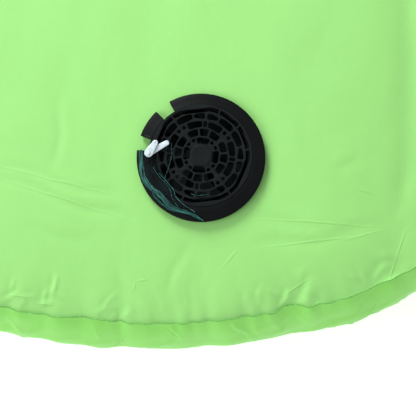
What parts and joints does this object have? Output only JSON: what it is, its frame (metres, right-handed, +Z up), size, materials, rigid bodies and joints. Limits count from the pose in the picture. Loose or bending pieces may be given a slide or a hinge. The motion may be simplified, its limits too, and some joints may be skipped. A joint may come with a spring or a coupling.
{
  "type": "inflatable air track mat with built-in blower",
  "caption": "Long round-ended inflatable tumbling mat of light-green coated cloth, kept inflated by a black battery blower set in its top skin.",
  "frame": {"origin": "on the floor, under the middle of the mat's outline", "axes": "+X to the side with the battery pocket and the zip, +Y along the mat away from the blower, +Z up through the thickness"},
  "size_m": [1.0826, 2, 0.1585],
  "materials": {
    "cloth": "thin light-green coated nylon, soft sheen",
    "wall_cloth": "the same coated nylon, a little deeper where it turns away",
    "tape": "welding tape and inner baffle cloth",
    "webbing": "woven polyester webbing",
    "black_plastic": "fine matt black moulding",
    "grille_plastic": "black moulding, a little lighter",
    "dark_plastic": "dark moulding",
    "foam": "closed-cell foam ring",
    "white_plastic": "bluish white, slightly translucent",
    "gauze": "sheer dark gauze",
    "satin": "teal satin binding",
    "steel": "plain steel",
    "zinc": "plated zinc casting",
    "brass": "plain bush",
    "magnet": "sintered ferrite",
    "copper": "enamelled copper windings",
    "nylon": "natural nylon",
    "rubber": "soft black rubber",
    "cell_wrap": "plain shrink wrap"
  },
  "bodies": {
    "mat": {"baffle_left": "tape", "baffle_right": "tape", "baffle_strip_left_bottom": "tape", "baffle_strip_left_top": "tape", "baffle_strip_right_bottom": "tape", "baffle_strip_right_top": "tape", "battery_box": "black_plastic", "battery_pocket": "cloth", "blower_flange": "black_plastic", "blower_patch": "tape", "bottom_seam_tape": "tape", "bottom_sheet": "cloth", "cell_1": "cell_wrap", "cell_2": "cell_wrap", "cell_3": "cell_wrap", "cell_4": "cell_wrap", "clamp_ring": "black_plastic", "clip_lower_leaf": "white_plastic", "clip_pin": "white_plastic", "contact_lower": "steel", "contact_upper": "steel", "flange_gasket": "foam", "front_bush": "brass", "gauze_hem": "satin", "gauze_screen": "gauze", "guard_screw_1": "steel", "guard_screw_2": "steel", "guard_screw_3": "steel", "handle_left": "webbing", "handle_right": "webbing", "intake_grille": "grille_plastic", "lead_grommet": "rubber", "motor_can": "steel", "motor_end_cap": "nylon", "motor_magnet": "magnet", "outlet_guard": "dark_plastic", "power_lead": "rubber", "rear_bush": "brass", "top_seam_tape": "tape", "top_sheet": "cloth", "wall_front": "wall_cloth", "wall_left": "wall_cloth", "wall_rear": "wall_cloth", "wall_right": "wall_cloth", "zip_chain_lower": "nylon", "zip_chain_upper": "nylon", "zip_stop": "zinc", "zip_tape_lower": "tape", "zip_tape_upper": "tape"},
    "rotor": {"impeller": "dark_plastic", "motor_shaft": "steel", "motor_armature": "copper"},
    "battery_lid": {"battery_lid": "dark_plastic"},
    "power_switch": {"power_switch": "nylon"},
    "zip_slider": {"zip_slider": "zinc"},
    "zip_pull": {"zip_pull": "zinc"},
    "clip_leaf": {"clip_upper_leaf": "white_plastic"}
  },
  "joints": [
    {"name": "impeller_spin", "type": "hinge", "parent": "mat", "child": "rotor", "pos_m": [0.05687, -0.84815, 0.13173], "axis": [0.0134, -0.0854, 0.9963], "continuous": true},
    {"name": "battery_lid_slide", "type": "slide", "parent": "mat", "child": "battery_lid", "axis": [0, 0, 1], "range_m": [0, 0.058]},
    {"name": "power_switch_slide", "type": "slide", "parent": "mat", "child": "power_switch", "axis": [0, 1, 0], "range_m": [0, 0.004]},
    {"name": "zip_slide", "type": "slide", "parent": "mat", "child": "zip_slider", "axis": [0, 1, 0], "range_m": [0, 0.222]},
    {"name": "zip_pull_hinge", "type": "hinge", "parent": "zip_slider", "child": "zip_pull", "pos_m": [0.5228, 0.198, 0.071], "axis": [0, 0, -1], "range_deg": [0, 180]},
    {"name": "clip_leaf_hinge", "type": "hinge", "parent": "mat", "child": "clip_leaf", "pos_m": [0.01267, -0.84843, 0.15438], "axis": [0.0134, -0.0854, 0.9963], "range_deg": [-27, 60]}
  ]
}
